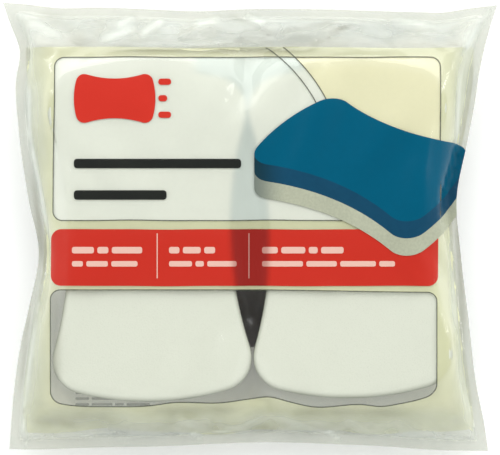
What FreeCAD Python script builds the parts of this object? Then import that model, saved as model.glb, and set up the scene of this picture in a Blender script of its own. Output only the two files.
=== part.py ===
"""Twin pack of whiteboard erasers: two hourglass foam erasers in a sealed, printed clear-film bag.

Frame, in millimetres: the pack lies on its back. +X runs across the pack to the reader's right, +Y towards
its top end, +Z out of its printed front. The origin is under the middle of the pack, on the surface it
lies on.
"""

import FreeCAD
import Part
import math
import os

Vector = FreeCAD.Vector

TOLERANCE = 1e-6

# ---- Driving dimensions: the eraser ----
ERASER_LENGTH = 127.0
ERASER_WIDTH = 76.2
SIDE_HOLLOW = 7.1
CORNER_RADIUS = 13.0
END_RADIUS = 110.0
ERASING_PAD_THICKNESS = 12.7
BOND_THICKNESS = 0.3
GRIP_FOAM_THICKNESS = 12.4
FOAM_EDGE_RADIUS = 0.8
LEAN_DEG = 1.2
RIGHT_ERASER_RAISE = 1.3
PAIR_GAP = 0.5

# ---- Driving dimensions: the bag ----
FILM_THICKNESS = 0.25
FILM_CLEARANCE = 0.3
SIDE_CLEARANCE = 1.6
WAIST_CLEARANCE = 2.0
END_CLEARANCE = 1.0
END_PLAY = 6.0
FLAT_END_RADIUS = 3000.0
FLAT_CORNER_RADIUS = 18.0
SIDE_SLOPE_RUN = 4.4
END_SLOPE_RUN = 11.3
SIDE_SEAL_WIDTH = 4.0
END_SEAL_WIDTH = 4.4
SIDE_FLARE_DEG = 10.2
WAIST_RADIUS = 70.0
END_HOLLOW = 2.8
POCKET_CORNER_RADIUS = 6.0
SIDE_SPLIT_SHARE = 0.25

# ---- Driving dimensions: the ink ----
INK_THICKNESS = 0.08
INK_EDGE_MARGIN = 1.0
HEADER_CLEAR = 10.2
FOOTER_CLEAR = 1.0
PRINT_OFFSET_X = -1.6
PANEL_SIDE_MARGIN = 5.2
PANEL_CORNER_RADIUS = 4.0
UPPER_PANEL_MARGIN = 3.8
UPPER_PANEL_HEIGHT = 62.6
BAND_GAP = 3.1
BAND_HEIGHT = 21.7
WINDOW_GAP = 1.2
WINDOW_BOTTOM_MARGIN = 9.6
RULE_WIDTH = 0.5
TEXT_MARGIN = 8.2
MARK_MARGIN = 6.5
MARK_SCALE = 0.245
MARK_STROKE = 2.4
MARK_STROKE_LENGTH = 4.8
MARK_STROKE_COUNT = 3
TITLE_MARGIN = 36.4
TITLE_LENGTHS = (63.8, 35.4)
TITLE_BAR_HEIGHT = 3.6
TITLE_PITCH = 12.2
BAND_COLUMNS = (0.0, 36.6, 72.2)
BAND_BAR_HEIGHT = 2.4
BAND_BAR_SHARES = (0.78, 0.68)
BAND_BAR_PITCH = 5.3
BAND_BAR_MARGIN = 6.0
DIVIDER_HEIGHT = 17.2
DIVIDER_MARGIN = 3.3
BAR_CORNER_SHARE = 0.33
SWOOSH_RADIUS = 60.8
SWOOSH_GAP = 4.2
SWOOSH_LEFT = 26.4
SWOOSH_DOWN = 46.1
PICTURE_SCALE = 0.45
PICTURE_RIGHT_MARGIN = 29.5
PICTURE_UP = 24.8
PICTURE_ALONG = (0.942, -0.411)
PICTURE_ACROSS = (0.779, 0.668)
PICTURE_DROP = 6.3
PICTURE_STEPS = 200
BACK_PANEL_SIDE = 92.0
BACK_PANEL_CORNER_RADIUS = 5.0
BACK_BAR_HEIGHT = 1.4
BACK_BAR_PITCH = 2.6
BACK_BAR_LENGTH = 30.0
BACK_BAR_ROWS = 3

# ---- Derived: the eraser's outline ----
ERASER_THICKNESS = ERASING_PAD_THICKNESS + BOND_THICKNESS + GRIP_FOAM_THICKNESS
ERASER_WAIST = ERASER_WIDTH - 2 * SIDE_HOLLOW
HALF_LENGTH = ERASER_LENGTH / 2
CORNER_X = ERASER_WIDTH / 2 - CORNER_RADIUS
END_CENTRE_Y = HALF_LENGTH - END_RADIUS
CORNER_Y = END_CENTRE_Y + math.sqrt((END_RADIUS - CORNER_RADIUS) ** 2 - CORNER_X**2)
LEAN_SHIFT = CORNER_Y * math.sin(math.radians(LEAN_DEG))

# ---- Derived: heights ----
FOAM_BOTTOM = FILM_THICKNESS + FILM_CLEARANCE
FRONT_FILM_UNDERSIDE = FOAM_BOTTOM + ERASER_THICKNESS + FILM_CLEARANCE
FRONT_FILM_TOP = FRONT_FILM_UNDERSIDE + FILM_THICKNESS
SEAL_HEIGHT = FRONT_FILM_TOP / 2
RIM_Z = SEAL_HEIGHT + FILM_THICKNESS

# ---- Derived: the bag's outlines ----
ERASER_X = (ERASER_WIDTH + PAIR_GAP) / 2
FLAT_HALF_WIDTH = ERASER_X + ERASER_WIDTH / 2 + LEAN_SHIFT + SIDE_CLEARANCE
FLAT_WAIST = ERASER_X + ERASER_WAIST / 2 + WAIST_CLEARANCE
FLAT_HALF_HEIGHT = ERASER_LENGTH / 2 + END_CLEARANCE + END_PLAY / 2
ERASER_Y = -FLAT_HALF_HEIGHT + END_CLEARANCE + ERASER_LENGTH / 2
BAG_WAIST = FLAT_WAIST + FILM_THICKNESS + SIDE_SLOPE_RUN + SIDE_SEAL_WIDTH
BAG_MIDDLE_Y = FLAT_HALF_HEIGHT + FILM_THICKNESS + END_SLOPE_RUN + END_SEAL_WIDTH
BAG_EAR_Y = BAG_MIDDLE_Y + END_HOLLOW
FLARE = math.radians(SIDE_FLARE_DEG)
WAIST_CENTRE_X = BAG_WAIST + WAIST_RADIUS

# ---- Derived: the print's layout ----
PANEL_WIDTH = 2 * (FLAT_HALF_WIDTH - PANEL_SIDE_MARGIN)
PANEL_LEFT = PRINT_OFFSET_X - PANEL_WIDTH / 2
PANEL_RIGHT = PRINT_OFFSET_X + PANEL_WIDTH / 2
PRINT_TOP = BAG_MIDDLE_Y - END_SEAL_WIDTH - HEADER_CLEAR
PRINT_BOTTOM = -BAG_MIDDLE_Y + END_SEAL_WIDTH + FOOTER_CLEAR
UPPER_TOP = PRINT_TOP - UPPER_PANEL_MARGIN
UPPER_BOTTOM = UPPER_TOP - UPPER_PANEL_HEIGHT
BAND_TOP = UPPER_BOTTOM - BAND_GAP
BAND_BOTTOM = BAND_TOP - BAND_HEIGHT
WINDOW_TOP = BAND_BOTTOM - WINDOW_GAP
WINDOW_BOTTOM = PRINT_BOTTOM + WINDOW_BOTTOM_MARGIN


# ---- Points ----
def toward(start, end, distance):
    """The point at a distance from start on the way to end."""
    length = math.hypot(end[0] - start[0], end[1] - start[1])
    share = distance / length
    return start[0] + share * (end[0] - start[0]), start[1] + share * (end[1] - start[1])


def mirrored(point, sx, sy):
    return point[0] * sx, point[1] * sy


def halfway_round(centre, radius, first, last):
    """The middle of the shorter arc about centre from first to last."""
    chord_middle = ((first[0] + last[0]) / 2, (first[1] + last[1]) / 2)
    return toward(centre, chord_middle, radius)


# ---- Edges, wires and plates ----
def edge_through(first, middle, last, z):
    """The arc through three points at height z, or the straight line if they are in one line."""
    bend = (middle[0] - first[0]) * (last[1] - first[1]) - (middle[1] - first[1]) * (last[0] - first[0])
    ends = Vector(*first, z), Vector(*last, z)
    if abs(bend) < TOLERANCE:
        return Part.LineSegment(*ends).toShape()
    return Part.Arc(ends[0], Vector(*middle, z), ends[1]).toShape()


def outline(quarter, z):
    """The edges of a closed outline, clockwise, from its first quarter mirrored about both axes.

    quarter runs from the top of the Y axis to the right of the X axis. Its points are in turn the middle of
    an edge and the joint to the next one, so it starts and ends with a middle.
    """
    right = quarter + [mirrored(p, 1, -1) for p in quarter[-2::-1]]
    points = right + [mirrored(p, -1, 1) for p in right[-2:0:-1]]
    count = len(points)
    edges = []
    for i in range(0, count, 2):
        edges.append(edge_through(points[i - 1], points[i], points[(i + 1) % count], z))
    return edges


def plate_within(edges, height):
    """The flat plate inside a closed row of edges, height thick."""
    return Part.Face(Part.Wire(edges)).extrude(Vector(0, 0, height))


def rounded_box(left, right, bottom, top, radius, z, height):
    """A flat plate with rounded corners."""
    plate = Part.makeBox(right - left, top - bottom, height, Vector(left, bottom, z))
    uprights = [e for e in plate.Edges if abs(e.Vertexes[0].Z - e.Vertexes[-1].Z) > height / 2]
    return plate.makeFillet(radius, uprights)


# ---- Outlines ----
def hourglass_quarter(corner, corner_radius, waist, half_length, end_radius, side_share=None):
    """A quarter of an hourglass outline: a crowned end, a corner and a hollow side, each a touching arc.

    With side_share the side is divided in three where its height is that share of the corner's.
    """
    step = waist - corner[0]
    side_radius = (step**2 + corner[1] ** 2 - corner_radius**2) / (2 * (corner_radius - step))
    side_centre = (waist + side_radius, 0.0)
    end_centre = (0.0, half_length - end_radius)
    on_end = toward(corner, end_centre, -corner_radius)
    on_side = toward(corner, side_centre, corner_radius)
    quarter = [(0.0, half_length), on_end, halfway_round(corner, corner_radius, on_end, on_side), on_side]
    if side_share is not None:
        split_y = side_share * corner[1]
        split = (side_centre[0] - math.sqrt(side_radius**2 - split_y**2), split_y)
        quarter += [halfway_round(side_centre, side_radius, on_side, split), split]
    return quarter + [(waist, 0.0)]


def eraser_outline(z, scale=1.0):
    corner = (CORNER_X * scale, CORNER_Y * scale)
    sizes = [s * scale for s in (CORNER_RADIUS, ERASER_WAIST / 2, HALF_LENGTH, END_RADIUS)]
    return outline(hourglass_quarter(corner, *sizes), z)


def flat_quarter(grow):
    """A quarter of the outline of the film's flat part, grown outwards by grow."""
    corner_radius = FLAT_CORNER_RADIUS + grow
    corner_x = FLAT_HALF_WIDTH - FLAT_CORNER_RADIUS
    inner_radius = FLAT_END_RADIUS - FLAT_CORNER_RADIUS
    corner_y = FLAT_HALF_HEIGHT - FLAT_END_RADIUS + math.sqrt(inner_radius**2 - corner_x**2)
    corner = (corner_x, corner_y)
    sizes = (FLAT_WAIST + grow, FLAT_HALF_HEIGHT + grow, FLAT_END_RADIUS + grow)
    return hourglass_quarter(corner, corner_radius, *sizes, SIDE_SPLIT_SHARE)


def flare_point(inset, along):
    """A point on the straight part of the bag's side, inset from the cut edge, some way along it."""
    radius = WAIST_RADIUS + inset
    x = WAIST_CENTRE_X - radius * math.cos(FLARE) + along * math.sin(FLARE)
    return x, radius * math.sin(FLARE) + along * math.cos(FLARE)


def ear_point():
    start = flare_point(0.0, 0.0)
    return flare_point(0.0, (BAG_EAR_Y - start[1]) / math.cos(FLARE))


BAG_EAR_X = ear_point()[0]
END_ARC_RADIUS = (BAG_EAR_X**2 + END_HOLLOW**2) / (2 * END_HOLLOW)
END_ARC_CENTRE = (0.0, BAG_MIDDLE_Y + END_ARC_RADIUS)


def bag_quarter():
    """A quarter of the film's cut edge: hollow end, ear, straight flare and rounded waist."""
    split = flare_point(0.0, 0.0)
    flare_middle = ((ear_point()[0] + split[0]) / 2, (ear_point()[1] + split[1]) / 2)
    return [(0.0, BAG_MIDDLE_Y), ear_point(), flare_middle, split, (BAG_WAIST, 0.0)]


def pocket_quarter(grow):
    """A quarter of the outline of the room inside the seals, grown outwards by grow."""
    corner_radius = POCKET_CORNER_RADIUS + grow
    side_inset = SIDE_SEAL_WIDTH - grow
    end_radius = END_ARC_RADIUS + END_SEAL_WIDTH - grow
    start = flare_point(side_inset + corner_radius, 0.0)
    down = END_ARC_CENTRE[1] - start[1]
    slope = start[0] * math.sin(FLARE) - down * math.cos(FLARE)
    rest = start[0] ** 2 + down**2 - (end_radius + corner_radius) ** 2
    along = -slope - math.sqrt(slope**2 - rest)
    corner = flare_point(side_inset + corner_radius, along)
    on_end = toward(corner, END_ARC_CENTRE, corner_radius)
    on_side = flare_point(side_inset, along)
    split = flare_point(side_inset, 0.0)
    return [
        (0.0, END_ARC_CENTRE[1] - end_radius),
        on_end,
        halfway_round(corner, corner_radius, on_end, on_side),
        on_side,
        ((on_side[0] + split[0]) / 2, (on_side[1] + split[1]) / 2),
        split,
        (BAG_WAIST - side_inset, 0.0),
    ]


# ---- The erasers ----
def foam_layer(bottom, thickness, softened):
    """One layer of an eraser at the origin, with its 'top' or 'bottom' rim softened, or neither."""
    layer = plate_within(eraser_outline(bottom), thickness)
    if softened is None:
        return layer
    rim_z = bottom + (thickness if softened == "top" else 0.0)
    rim = [e for e in layer.Edges if all(abs(v.Z - rim_z) < TOLERANCE for v in e.Vertexes)]
    return layer.makeFillet(FOAM_EDGE_RADIUS, rim)


def eraser(side, raise_y):
    """The layers of one eraser in its place: side is -1 for the left one and 1 for the right one."""
    bond_bottom = FOAM_BOTTOM + GRIP_FOAM_THICKNESS
    layers = {
        "grip_foam": foam_layer(FOAM_BOTTOM, GRIP_FOAM_THICKNESS, "bottom"),
        "bond_layer": foam_layer(bond_bottom, BOND_THICKNESS, None),
        "erasing_pad": foam_layer(bond_bottom + BOND_THICKNESS, ERASING_PAD_THICKNESS, "top"),
    }
    for layer in layers.values():
        layer.rotate(Vector(0, 0, 0), Vector(0, 0, 1), LEAN_DEG)
        layer.translate(Vector(side * ERASER_X, ERASER_Y + raise_y, 0))
    return layers


# ---- The bag ----
def tray_body(grow):
    """The solid between the seals and the front film, up to the film's inside face at a grow of zero."""
    rim = outline(pocket_quarter(grow), RIM_Z)
    flat = outline(flat_quarter(grow), FRONT_FILM_UNDERSIDE + grow)
    faces = [Part.makeRuledSurface(low, high) for low, high in zip(rim, flat)]
    faces.append(Part.Face(Part.Wire(rim)))
    faces.append(Part.Face(Part.Wire(flat)))
    shell = Part.makeShell(faces)
    shell.sewShape()
    body = Part.makeSolid(shell)
    if body.Volume < 0:
        body.reverse()
    return body


def skin(inner, outer):
    """The layer over the front of the bag between two grown surfaces."""
    return tray_body(outer).cut(tray_body(inner))


def front_film():
    """The front wall: a flat held up by the erasers, and slopes down to the seals on every side."""
    return skin(0.0, FILM_THICKNESS)


def back_film():
    """The back wall, the front wall's mirror image in the plane of the seals."""
    return front_film().mirror(Vector(0, 0, SEAL_HEIGHT), Vector(0, 0, 1))


def seals():
    """The welded flanges round the bag, two films thick, in four strips."""
    bottom, height = SEAL_HEIGHT - FILM_THICKNESS, 2 * FILM_THICKNESS
    rest = plate_within(outline(bag_quarter(), bottom), height)
    rest = rest.cut(plate_within(outline(pocket_quarter(0.0), bottom), height))
    strips = {}
    for name, sign in (("top_end_seal", 1), ("bottom_end_seal", -1)):
        centre = Vector(0, sign * END_ARC_CENTRE[1], bottom)
        tool = Part.makeCylinder(END_ARC_RADIUS + END_SEAL_WIDTH, height, centre)
        strips[name] = rest.common(tool)
        rest = rest.cut(tool)
    left, right = sorted(rest.Solids, key=lambda s: s.CenterOfMass.x)
    strips["left_side_seal"] = left
    strips["right_side_seal"] = right
    return strips


# ---- The ink on the front film: outlines seen from the front, as tall plates that cut the ink's skin ----
CUT_BOTTOM = RIM_Z
CUT_HEIGHT = FRONT_FILM_TOP - RIM_Z + 4 * INK_THICKNESS


def field():
    """The whole area that takes ink."""
    inside = plate_within(outline(pocket_quarter(-INK_EDGE_MARGIN), CUT_BOTTOM), CUT_HEIGHT)
    page = Part.makeBox(
        2 * BAG_EAR_X, PRINT_TOP - PRINT_BOTTOM, CUT_HEIGHT, Vector(-BAG_EAR_X, PRINT_BOTTOM, CUT_BOTTOM)
    )
    return inside.common(page)


def panel(bottom, top, inset=0.0):
    radius = PANEL_CORNER_RADIUS - inset
    edges = (PANEL_LEFT + inset, PANEL_RIGHT - inset, bottom + inset, top - inset)
    return rounded_box(*edges, radius, CUT_BOTTOM, CUT_HEIGHT)


def rule_round(bottom, top):
    """A thin rule just inside a panel's edge."""
    return panel(bottom, top).cut(panel(bottom, top, RULE_WIDTH))


def swoosh_disc(grow):
    """The disc whose edge is one of the curved rules across the upper panel."""
    middle = Vector(PRINT_OFFSET_X - SWOOSH_LEFT, UPPER_TOP - SWOOSH_DOWN, CUT_BOTTOM)
    return Part.makeCylinder(SWOOSH_RADIUS + grow, CUT_HEIGHT, middle)


def swoosh_rule(grow):
    """The part of a curved rule from the top of the print down to the printed picture."""
    quarter = Part.makeBox(
        BAG_EAR_X, PRINT_TOP, CUT_HEIGHT, Vector(PRINT_OFFSET_X, UPPER_TOP - SWOOSH_DOWN, CUT_BOTTOM)
    )
    return swoosh_disc(grow).cut(swoosh_disc(grow - RULE_WIDTH)).common(quarter)


def bar(left, length, low, height):
    """A plain bar with rounded ends, in place of a row of words."""
    corner = height * BAR_CORNER_SHARE
    return rounded_box(left, left + length, low, low + height, corner, CUT_BOTTOM, CUT_HEIGHT)


def title_bars():
    left = PANEL_LEFT + TEXT_MARGIN
    first_low = UPPER_TOP - TITLE_MARGIN - TITLE_BAR_HEIGHT
    rows = [
        bar(left, length, first_low - row * TITLE_PITCH, TITLE_BAR_HEIGHT)
        for row, length in enumerate(TITLE_LENGTHS)
    ]
    return Part.makeCompound(rows)


def band_bars():
    """Two rows of bars in each column of the band, nearly as long as the column allows."""
    column_ends = BAND_COLUMNS[1:] + (PANEL_WIDTH - 2 * TEXT_MARGIN,)
    rows = []
    for number, (start, end) in enumerate(zip(BAND_COLUMNS, column_ends)):
        for row in (0, 1):
            length = (end - start) * BAND_BAR_SHARES[(number + row) % 2]
            low = BAND_TOP - BAND_BAR_MARGIN - row * BAND_BAR_PITCH - BAND_BAR_HEIGHT
            rows.append(bar(PANEL_LEFT + TEXT_MARGIN + start, length, low, BAND_BAR_HEIGHT))
    return Part.makeCompound(rows)


def band_dividers():
    """A thin upright rule a little before the second and the third column."""
    low = (BAND_TOP + BAND_BOTTOM - DIVIDER_HEIGHT) / 2
    lefts = [PANEL_LEFT + DIVIDER_MARGIN + start for start in BAND_COLUMNS[1:]]
    size = (RULE_WIDTH, DIVIDER_HEIGHT, CUT_HEIGHT)
    return Part.makeCompound([Part.makeBox(*size, Vector(left, low, CUT_BOTTOM)) for left in lefts])


def mark():
    """A plain sign: the eraser's own outline lying on its side, with three strokes behind it."""
    shape = plate_within(eraser_outline(CUT_BOTTOM, MARK_SCALE), CUT_HEIGHT)
    shape.rotate(Vector(0, 0, 0), Vector(0, 0, 1), 90)
    height, length = ERASER_WIDTH * MARK_SCALE, ERASER_LENGTH * MARK_SCALE
    left, top = PANEL_LEFT + TEXT_MARGIN, UPPER_TOP - MARK_MARGIN
    shape.translate(Vector(left + length / 2, top - height / 2, 0))
    pitch = (height - MARK_STROKE) / MARK_STROKE_COUNT
    strokes = []
    for row in range(MARK_STROKE_COUNT):
        low = top - height + pitch * (row + 0.5)
        strokes.append(bar(left + length + MARK_STROKE / 2, MARK_STROKE_LENGTH, low, MARK_STROKE))
    return Part.makeCompound([shape] + strokes)


def back_panel():
    """The dark panel inside the back film, which shows between the erasers' hollow sides."""
    half = BACK_PANEL_SIDE / 2
    return rounded_box(-half, half, -half, half, BACK_PANEL_CORNER_RADIUS, FILM_THICKNESS, INK_THICKNESS)


def back_bars():
    """Small print inside the foot of the back film, seen through the window past the left eraser's end."""
    low = -FLAT_HALF_HEIGHT + BACK_BAR_HEIGHT
    rows = []
    for row in range(BACK_BAR_ROWS):
        start = Vector(PANEL_LEFT + TEXT_MARGIN, low + row * BACK_BAR_PITCH, FILM_THICKNESS)
        rows.append(Part.makeBox(BACK_BAR_LENGTH, BACK_BAR_HEIGHT, INK_THICKNESS, start))
    return Part.makeCompound(rows)


def picture(drops):
    """The printed eraser as seen from a raised corner, swept down the page over a number of layers."""
    place = FreeCAD.Matrix()
    middle = (PANEL_RIGHT - PICTURE_RIGHT_MARGIN, UPPER_BOTTOM + PICTURE_UP)
    place.A11, place.A12, place.A14 = PICTURE_ACROSS[0], PICTURE_ALONG[0], middle[0]
    place.A21, place.A22, place.A24 = PICTURE_ACROSS[1], PICTURE_ALONG[1], middle[1]
    drawn = Part.Wire(eraser_outline(CUT_BOTTOM, PICTURE_SCALE)).transformGeometry(place)
    top_face = Part.Wire(drawn.Edges)
    plate = Part.Face(top_face).extrude(Vector(0, 0, CUT_HEIGHT))
    if drops == 0:
        return plate
    drop = drops * PICTURE_DROP
    points = top_face.discretize(PICTURE_STEPS)
    first = min(points, key=lambda p: p.x)
    last = max(points, key=lambda p: p.x)
    down = Vector(0, -drop, 0)
    sweep = Part.Face(Part.makePolygon([first, first + down, last + down, last, first]))
    lowered = plate.copy()
    lowered.translate(down)
    return plate.fuse([sweep.extrude(Vector(0, 0, CUT_HEIGHT)), lowered])


def ink():
    """Every inked shape on the front film, by name, the first ink layer and then the one over it."""
    page = field()
    upper, band = panel(UPPER_BOTTOM, UPPER_TOP), panel(BAND_BOTTOM, BAND_TOP)
    window = panel(WINDOW_BOTTOM, WINDOW_TOP)
    grip_top, grip_all, picture_all = picture(0), picture(1), picture(2)
    upper_rule = rule_round(UPPER_BOTTOM, UPPER_TOP)
    swooshes = [swoosh_rule(grow).cut([upper_rule, grip_top]) for grow in (0.0, SWOOSH_GAP)]
    under = {
        "print_border_cream": page.cut([upper, band, window]),
        "print_panel_white": upper.common(swoosh_disc(SWOOSH_GAP)),
        "print_panel_yellow": upper.cut(swoosh_disc(SWOOSH_GAP)),
        "print_band_red": band,
        "print_rule_lower": rule_round(WINDOW_BOTTOM, WINDOW_TOP),
    }
    over = {
        "print_rule_upper": upper_rule.cut(picture_all),
        "print_swoosh_rules": Part.makeCompound(swooshes),
        "print_mark": mark(),
        "print_title_bars": title_bars().cut(picture_all),
        "print_band_bars": band_bars(),
        "print_band_dividers": band_dividers(),
        "print_picture_grip_top": grip_top,
        "print_picture_grip_side": grip_all.cut(grip_top),
        "print_picture_pad_side": picture_all.cut(grip_all),
    }
    first = skin(FILM_THICKNESS, FILM_THICKNESS + INK_THICKNESS)
    second = skin(FILM_THICKNESS + INK_THICKNESS, FILM_THICKNESS + 2 * INK_THICKNESS)
    shapes = {name: first.common(cutter) for name, cutter in under.items()}
    shapes.update({name: second.common(cutter.common(page)) for name, cutter in over.items()})
    shapes["print_back_panel"] = back_panel()
    shapes["print_back_bars"] = back_bars()
    return shapes


def main():
    os.makedirs("parts", exist_ok=True)
    nodes = {"front_film": front_film(), "back_film": back_film()}
    nodes.update(seals())
    for side, name, raise_y in ((-1, "left", 0.0), (1, "right", RIGHT_ERASER_RAISE)):
        nodes.update({f"{name}_{layer}": shape for layer, shape in eraser(side, raise_y).items()})
    nodes.update(ink())
    for name, shape in nodes.items():
        shape.exportStep(f"parts/{name}.step")
        print(f"{name}: {len(shape.Solids)} solids, volume {shape.Volume:.1f}, valid {shape.isValid()}")


main()
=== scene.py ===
"""Twin pack of whiteboard erasers in a sealed, printed clear bag: the looks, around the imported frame.

The bag's two webs are a film that is settled over the erasers by a small cloth solver. The print is laid
on the front web afterwards, so that it follows every fold. Lengths are in millimetres until a mesh is made.
"""

import math

import bpy
import numpy as np
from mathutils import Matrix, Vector
from mathutils.bvhtree import BVHTree
from mathutils.geometry import delaunay_2d_cdt


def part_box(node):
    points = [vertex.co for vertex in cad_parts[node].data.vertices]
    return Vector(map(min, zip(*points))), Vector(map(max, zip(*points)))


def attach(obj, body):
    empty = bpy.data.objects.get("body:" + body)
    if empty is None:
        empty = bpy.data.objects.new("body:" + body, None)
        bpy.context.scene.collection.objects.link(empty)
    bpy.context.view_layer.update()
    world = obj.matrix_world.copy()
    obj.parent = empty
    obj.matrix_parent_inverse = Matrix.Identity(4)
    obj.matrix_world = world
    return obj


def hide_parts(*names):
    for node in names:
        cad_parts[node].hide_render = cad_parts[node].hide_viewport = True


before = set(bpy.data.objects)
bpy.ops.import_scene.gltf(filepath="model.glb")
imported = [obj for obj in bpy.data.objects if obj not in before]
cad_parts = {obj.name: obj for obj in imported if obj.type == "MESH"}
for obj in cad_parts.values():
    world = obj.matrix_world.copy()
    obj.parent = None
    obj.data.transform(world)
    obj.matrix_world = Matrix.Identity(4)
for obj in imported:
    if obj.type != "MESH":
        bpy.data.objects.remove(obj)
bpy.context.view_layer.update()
MM = 0.001
rng = np.random.default_rng(7)


def box_mm(node):
    low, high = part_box(node)
    return np.array(low) / MM, np.array(high) / MM


# ---------------------------------------------------------------- sizes of the erasers
LENGTH, WIDTH, WAIST = 127.0, 76.2, 62.0
CORNER_R, END_R = 13.0, 110.0
RIM_R = 2.0                           # how far the foam's outer rims are rounded
LEAN = math.radians(1.2)
CENTRES = {side: sum(box_mm(f"{side}_erasing_pad")) / 2 for side in ("left", "right")}
PAD_LOW, PAD_HIGH = box_mm("left_erasing_pad")[0][2], box_mm("left_erasing_pad")[1][2]
GRIP_LOW, GRIP_HIGH = box_mm("left_grip_foam")[0][2], box_mm("left_grip_foam")[1][2]

# ---------------------------------------------------------------- sizes of the bag
FLAT_U, FLAT_V = 96.2, 87.2          # half of the web's cut width and length
SIDE_SEAL, END_SEAL = 4.0, 4.5
SEAL_Z = (box_mm("left_side_seal")[0][2] + box_mm("left_side_seal")[1][2]) / 2
FILM_OFF_FOAM = 0.42
FILM_BEND_R = 3.0                     # how tightly the film turns round the erasers' rims
FILM_OFF_FLOOR = 0.12
WEB_GAP = 0.3                         # the least space between the two webs
WELD_HALF = 0.05
ABOVE_ALL = 60.0                      # a height above every piece, to look down on the webs from
AIR = 0.0008                          # how hard the air in the bag pushes the webs out
# How much of each row's width is left once the waist's slack has been taken up in the welds, by height.
TAKE_UP = [(-95, 1.0), (-62, 0.995), (-30, 0.945), (-5, 0.918), (28, 0.958), (60, 0.995), (95, 1.0)]
# The cut edge of the filled bag: (height, how far out) down each side, (across, height) along each end.
LEFT_EDGE = [(87, 95.0), (78, 91.9), (68.5, 88.4), (55, 89.9), (39, 88.9), (10, 84.8), (-9, 81.1),
             (-30, 84.6), (-44, 87.8), (-62, 90.5), (-86, 92.4)]
RIGHT_EDGE = [(86, 95.0), (76, 91.8), (60, 88.0), (47, 86.1), (33, 83.4), (10.5, 79.2), (-8, 80.6),
              (-33, 83.6), (-62, 87.1), (-75, 89.8), (-86, 91.4)]
TOP_EDGE = [(-96, 86.2), (-86, 85.6), (-74, 84.2), (-59, 84.4), (-38, 83.7), (-21, 83.0), (0, 83.8),
            (30, 83.7), (52, 83.0), (66, 82.6), (73, 82.4), (84, 84.0), (96, 85.4)]
BOTTOM_EDGE = [(-96, 84.9), (-83, 85.2), (-62, 84.5), (-30, 83.8), (-13, 83.0), (7, 82.4), (30, 83.0),
               (55, 84.2), (68, 85.2), (96, 85.9)]
# The long folds of the front web: both ends, half width, and strength: above 0 a raised fold with a painted
# highlight, below 0 a sunken one with painted shade.
HEAD_FOLDS = [(-57, 71.5, -44, 76.5, 1.6, 0.9), (-42, 73.5, -33, 80, 1.3, 0.8), (-51, 77, -44, 81, 1.2, 0.6),
              (-21, 77.5, -11, 80.8, 1.4, 0.8), (-8, 81, 9, 73.6, 1.0, -0.8), (7, 73.6, 33, 78.5, 1.3, -0.7),
              (-3, 82, 6, 78, 1.2, 0.8), (93, 85, 81, 66, 0.9, 1.0), (88, 80, 82, 70, 1.6, 0.6),
              (-54, 67.8, 24, 67.9, 0.9, -0.9), (22, 67.9, 40, 79, 1.3, -0.6),
              (-50, 69.6, 20, 69.8, 1.1, 0.35), (-92, 82, -70, 72, 2.0, 0.5), (-80, 82, -60, 69, 2.4, -0.4),
              (52, 82, 70, 76, 2.0, 0.4), (-74, 66.6, 72, 66.8, 1.5, -0.45)]
SIDE_FOLDS = [(-84.6, 56, -84.8, 32, 0.9, 0.8), (-84.6, 36, -77.0, -4, 0.95, 1.0),
              (-82.6, 26, -79.6, -16, 1.5, -0.6), (-80.6, -17, -86.8, -70, 1.3, 0.7),
              (-83.4, -22, -88.0, -66, 1.0, -0.5), (-87, -72, -85.8, -85, 0.7, 0.8),
              (-74.6, -22, -74.6, -64, 2.0, -0.5), (79.4, 10, 82.0, -48, 1.2, -0.7),
              (77.0, 0, 78.6, -40, 1.3, 0.5), (80.0, 62, 79.0, 18, 0.9, 0.8)]
FOOT_FOLDS = [(-23, -78.6, -18, -81.4, 1.2, 0.9), (29, -77.6, 35, -81.6, 1.3, 0.9),
              (-84, -74, -64, -75.6, 1.6, -0.4), (-60, -77, 52, -76.6, 2.2, -0.5),
              (-40, -70.8, -4, -69.4, 1.8, -0.45), (12, -70.6, 62, -71.0, 1.6, -0.5),
              (-80, -73, -50, -73.4, 2.6, -0.4)]


def smooth_line(points, at):
    """A soft curve through a few points, read at the places in at."""
    xs = np.array([p[0] for p in points], float)
    ys = np.array([p[1] for p in points], float)
    order = np.argsort(xs)
    xs, ys = xs[order], ys[order]
    slopes = np.gradient(ys, xs)
    at = np.clip(at, xs[0], xs[-1])
    i = np.clip(np.searchsorted(xs, at) - 1, 0, len(xs) - 2)
    h = xs[i + 1] - xs[i]
    t = (at - xs[i]) / h
    return ((2 * t**3 - 3 * t**2 + 1) * ys[i] + (t**3 - 2 * t**2 + t) * h * slopes[i]
            + (3 * t**2 - 2 * t**3) * ys[i + 1] + (t**3 - t**2) * h * slopes[i + 1])


def smooth_step(low, high, x):
    t = np.clip((x - low) / (high - low), 0, 1)
    return t * t * (3 - 2 * t)


# ---------------------------------------------------------------- outlines
def arc(cx, cy, r, start, end, step):
    count = max(3, int(abs(math.radians(end - start)) * r / step) + 1)
    a = np.radians(np.linspace(start, end, count))[:-1]
    return np.stack([cx + r * np.cos(a), cy + r * np.sin(a)], 1)


def hourglass(step):
    """The erasers' outline as a closed line, anticlockwise, with a point every step or so."""
    cx = WIDTH / 2 - CORNER_R
    end_y = LENGTH / 2 - END_R
    cy = end_y + math.sqrt((END_R - CORNER_R) ** 2 - cx**2)
    s = WAIST / 2 - cx
    side_r = (s**2 + cy**2 - CORNER_R**2) / (2 * (CORNER_R - s))
    side_x = WAIST / 2 + side_r
    tip = math.degrees(math.atan2(cy - end_y, cx))
    flank = math.degrees(math.atan2(cy, side_x - cx))
    runs = [arc(side_x, 0, side_r, 180 + flank, 180 - flank, step),
            arc(cx, cy, CORNER_R, -flank, tip, step),
            arc(0, end_y, END_R, tip, 180 - tip, step),
            arc(-cx, cy, CORNER_R, 180 - tip, 180 + flank, step)]
    half = np.concatenate(runs)
    return np.concatenate([half, -half])


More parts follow.
